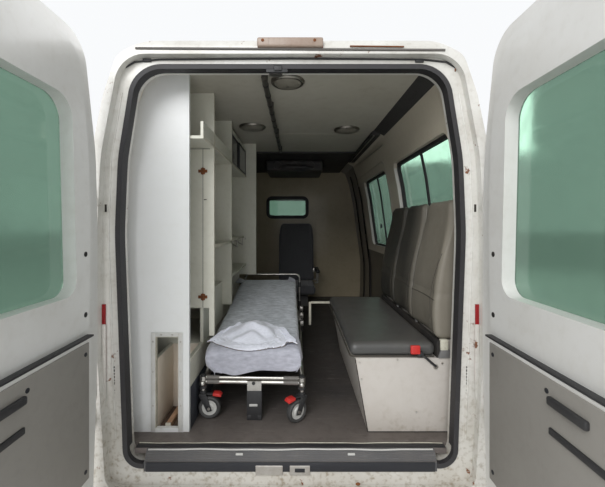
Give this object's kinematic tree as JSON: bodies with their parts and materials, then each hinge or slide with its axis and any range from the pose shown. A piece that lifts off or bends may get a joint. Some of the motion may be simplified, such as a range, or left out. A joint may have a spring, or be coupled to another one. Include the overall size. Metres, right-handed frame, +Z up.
{
  "type": "ambulance",
  "caption": "High-roof van ambulance with open rear doors, opening cab doors and bonnet, fitted patient compartment and stretcher.",
  "frame": {"origin": "on the ground, under the middle of the whole with its rear doors open", "axes": "+Y forward, +X to the vehicle's right, +Z up"},
  "size_m": [2.43, 6.4574, 2.5999],
  "materials": {
    "body_paint": "gloss, aged",
    "frame_paint": "gloss, stained by rust",
    "door_paint": "gloss, aged",
    "floor_vinyl": "worn",
    "underbody": "dark underseal",
    "engine_grey": "cast",
    "exhaust_steel": "dull",
    "seal_rubber": "matte",
    "bumper_plastic": "grained",
    "tread_plastic": "ribbed",
    "bumper_cream": "aged",
    "striker_steel": "tarnished",
    "lamp_clear": "clear",
    "lamp_red": "gloss",
    "window_glass": "green tint",
    "clear_glass": "clear",
    "bulkhead_paint": "satin",
    "ceiling_lining": "matte",
    "trim_dark": "matte",
    "lamp_diffuser": "frosted",
    "rail_dark": "satin",
    "unit_grey": "matte",
    "cabinet_board": "laminate",
    "cabinet_end": "laminate",
    "smoked_doors": "smoked",
    "bench_cream": "laminate",
    "cushion_vinyl": "vinyl",
    "backrest_vinyl": "vinyl",
    "seat_cloth": "woven",
    "cot_chrome": "polished",
    "mattress_cloth": "mottled",
    "caster_rubber": "matte",
    "dash_plastic": "grained",
    "tyre": "matte",
    "rim_steel": "silver paint",
    "knuckle_iron": "rough",
    "beacon_blue": "translucent",
    "grille_plastic": "grained",
    "wheel_rim_black": "grained"
  },
  "bodies": {
    "body": {"floor_pan": "floor_vinyl", "chassis_frame": "underbody", "side_panel_left": "body_paint", "side_panel_right": "body_paint", "roof_panel": "body_paint", "rear_frame": "frame_paint", "rubber_seals": "seal_rubber", "cab_shell": "body_paint", "grille": "grille_plastic", "front_bumper": "bumper_plastic", "rear_step": "tread_plastic", "rear_bumper": "bumper_cream", "lock_strikers": "striker_steel", "headlamps": "lamp_clear", "tail_lamps": "lamp_red", "windscreen": "clear_glass", "side_glass": "window_glass", "sliding_door": "body_paint", "bulkhead": "bulkhead_paint", "ceiling_panel": "ceiling_lining", "ceiling_trim": "trim_dark", "ceiling_lamps": "lamp_diffuser", "ceiling_rail": "rail_dark", "cooling_unit": "unit_grey", "cabinet_end_panel": "cabinet_end", "cabinet_carcass": "cabinet_board", "cupboard_doors": "smoked_doors", "bench_box": "bench_cream", "bench_cushion": "cushion_vinyl", "bench_backrests": "backrest_vinyl", "attendant_seat": "seat_cloth", "stretcher_frame": "cot_chrome", "stretcher_mattress": "mattress_cloth", "stretcher_casters": "caster_rubber", "dashboard": "dash_plastic", "cab_seats": "seat_cloth", "engine_block": "engine_grey", "tank_and_exhaust": "exhaust_steel", "rear_axle": "underbody", "light_bar": "beacon_blue"},
    "bonnet": {"bonnet": "body_paint"},
    "steering_wheel": {"steering_wheel": "wheel_rim_black"},
    "cab_door_right": {"cab_door_right": "body_paint", "cab_glass_right": "window_glass"},
    "rear_door_right": {"rear_door_right": "door_paint", "rear_glass_right": "window_glass"},
    "knuckle_right": {"knuckle_right": "knuckle_iron"},
    "wheel_front_right": {"tyre_front_right": "tyre", "rim_front_right": "rim_steel"},
    "wheel_rear_right": {"tyre_rear_right": "tyre", "rim_rear_right": "rim_steel"},
    "cab_door_left": {"cab_door_left": "body_paint", "cab_glass_left": "window_glass"},
    "rear_door_left": {"rear_door_left": "door_paint", "rear_glass_left": "window_glass"},
    "knuckle_left": {"knuckle_left": "knuckle_iron"},
    "wheel_front_left": {"tyre_front_left": "tyre", "rim_front_left": "rim_steel"},
    "wheel_rear_left": {"tyre_rear_left": "tyre", "rim_rear_left": "rim_steel"}
  },
  "joints": [
    {"name": "rear_door_right_hinge", "type": "hinge", "parent": "body", "child": "rear_door_right", "pos_m": [0.88, -2.3465, 1.2], "axis": [0, 0, 1], "range_deg": [-90, 90]},
    {"name": "cab_door_right_hinge", "type": "hinge", "parent": "body", "child": "cab_door_right", "pos_m": [1.001, 2.0305, 1.1], "axis": [0, 0, 1], "range_deg": [0, 70]},
    {"name": "steer_right", "type": "hinge", "parent": "body", "child": "knuckle_right", "pos_m": [0.8, 2.3475, 0.345], "axis": [0, 0, 1], "range_deg": [-35, 35]},
    {"name": "wheel_front_right_spin", "type": "hinge", "parent": "knuckle_right", "child": "wheel_front_right", "pos_m": [0.86, 2.3475, 0.345], "axis": [1, 0, 0], "continuous": true},
    {"name": "wheel_rear_right_spin", "type": "hinge", "parent": "body", "child": "wheel_rear_right", "pos_m": [0.86, -1.3525, 0.345], "axis": [1, 0, 0], "continuous": true},
    {"name": "rear_door_left_hinge", "type": "hinge", "parent": "body", "child": "rear_door_left", "pos_m": [-0.88, -2.3465, 1.2], "axis": [0, 0, -1], "range_deg": [-90, 90]},
    {"name": "cab_door_left_hinge", "type": "hinge", "parent": "body", "child": "cab_door_left", "pos_m": [-1.001, 2.0305, 1.1], "axis": [0, 0, -1], "range_deg": [0, 70]},
    {"name": "steer_left", "type": "hinge", "parent": "body", "child": "knuckle_left", "pos_m": [-0.8, 2.3475, 0.345], "axis": [0, 0, 1], "range_deg": [-35, 35]},
    {"name": "wheel_front_left_spin", "type": "hinge", "parent": "knuckle_left", "child": "wheel_front_left", "pos_m": [-0.86, 2.3475, 0.345], "axis": [1, 0, 0], "continuous": true},
    {"name": "wheel_rear_left_spin", "type": "hinge", "parent": "body", "child": "wheel_rear_left", "pos_m": [-0.86, -1.3525, 0.345], "axis": [1, 0, 0], "continuous": true},
    {"name": "bonnet_hinge", "type": "hinge", "parent": "body", "child": "bonnet", "pos_m": [0, 2.6755, 1.318], "axis": [1, 0, 0], "range_deg": [0, 55]},
    {"name": "steering_wheel_turn", "type": "hinge", "parent": "body", "child": "steering_wheel", "pos_m": [-0.43, 1.7675, 1.18], "axis": [0, -0.6157, 0.788], "range_deg": [-450, 450]}
  ],
  "couplings": [
    {"joint": "steer_right", "follows": "steer_left", "ratio": 1},
    {"joint": "steering_wheel_turn", "follows": "steer_left", "ratio": 12.857}
  ]
}
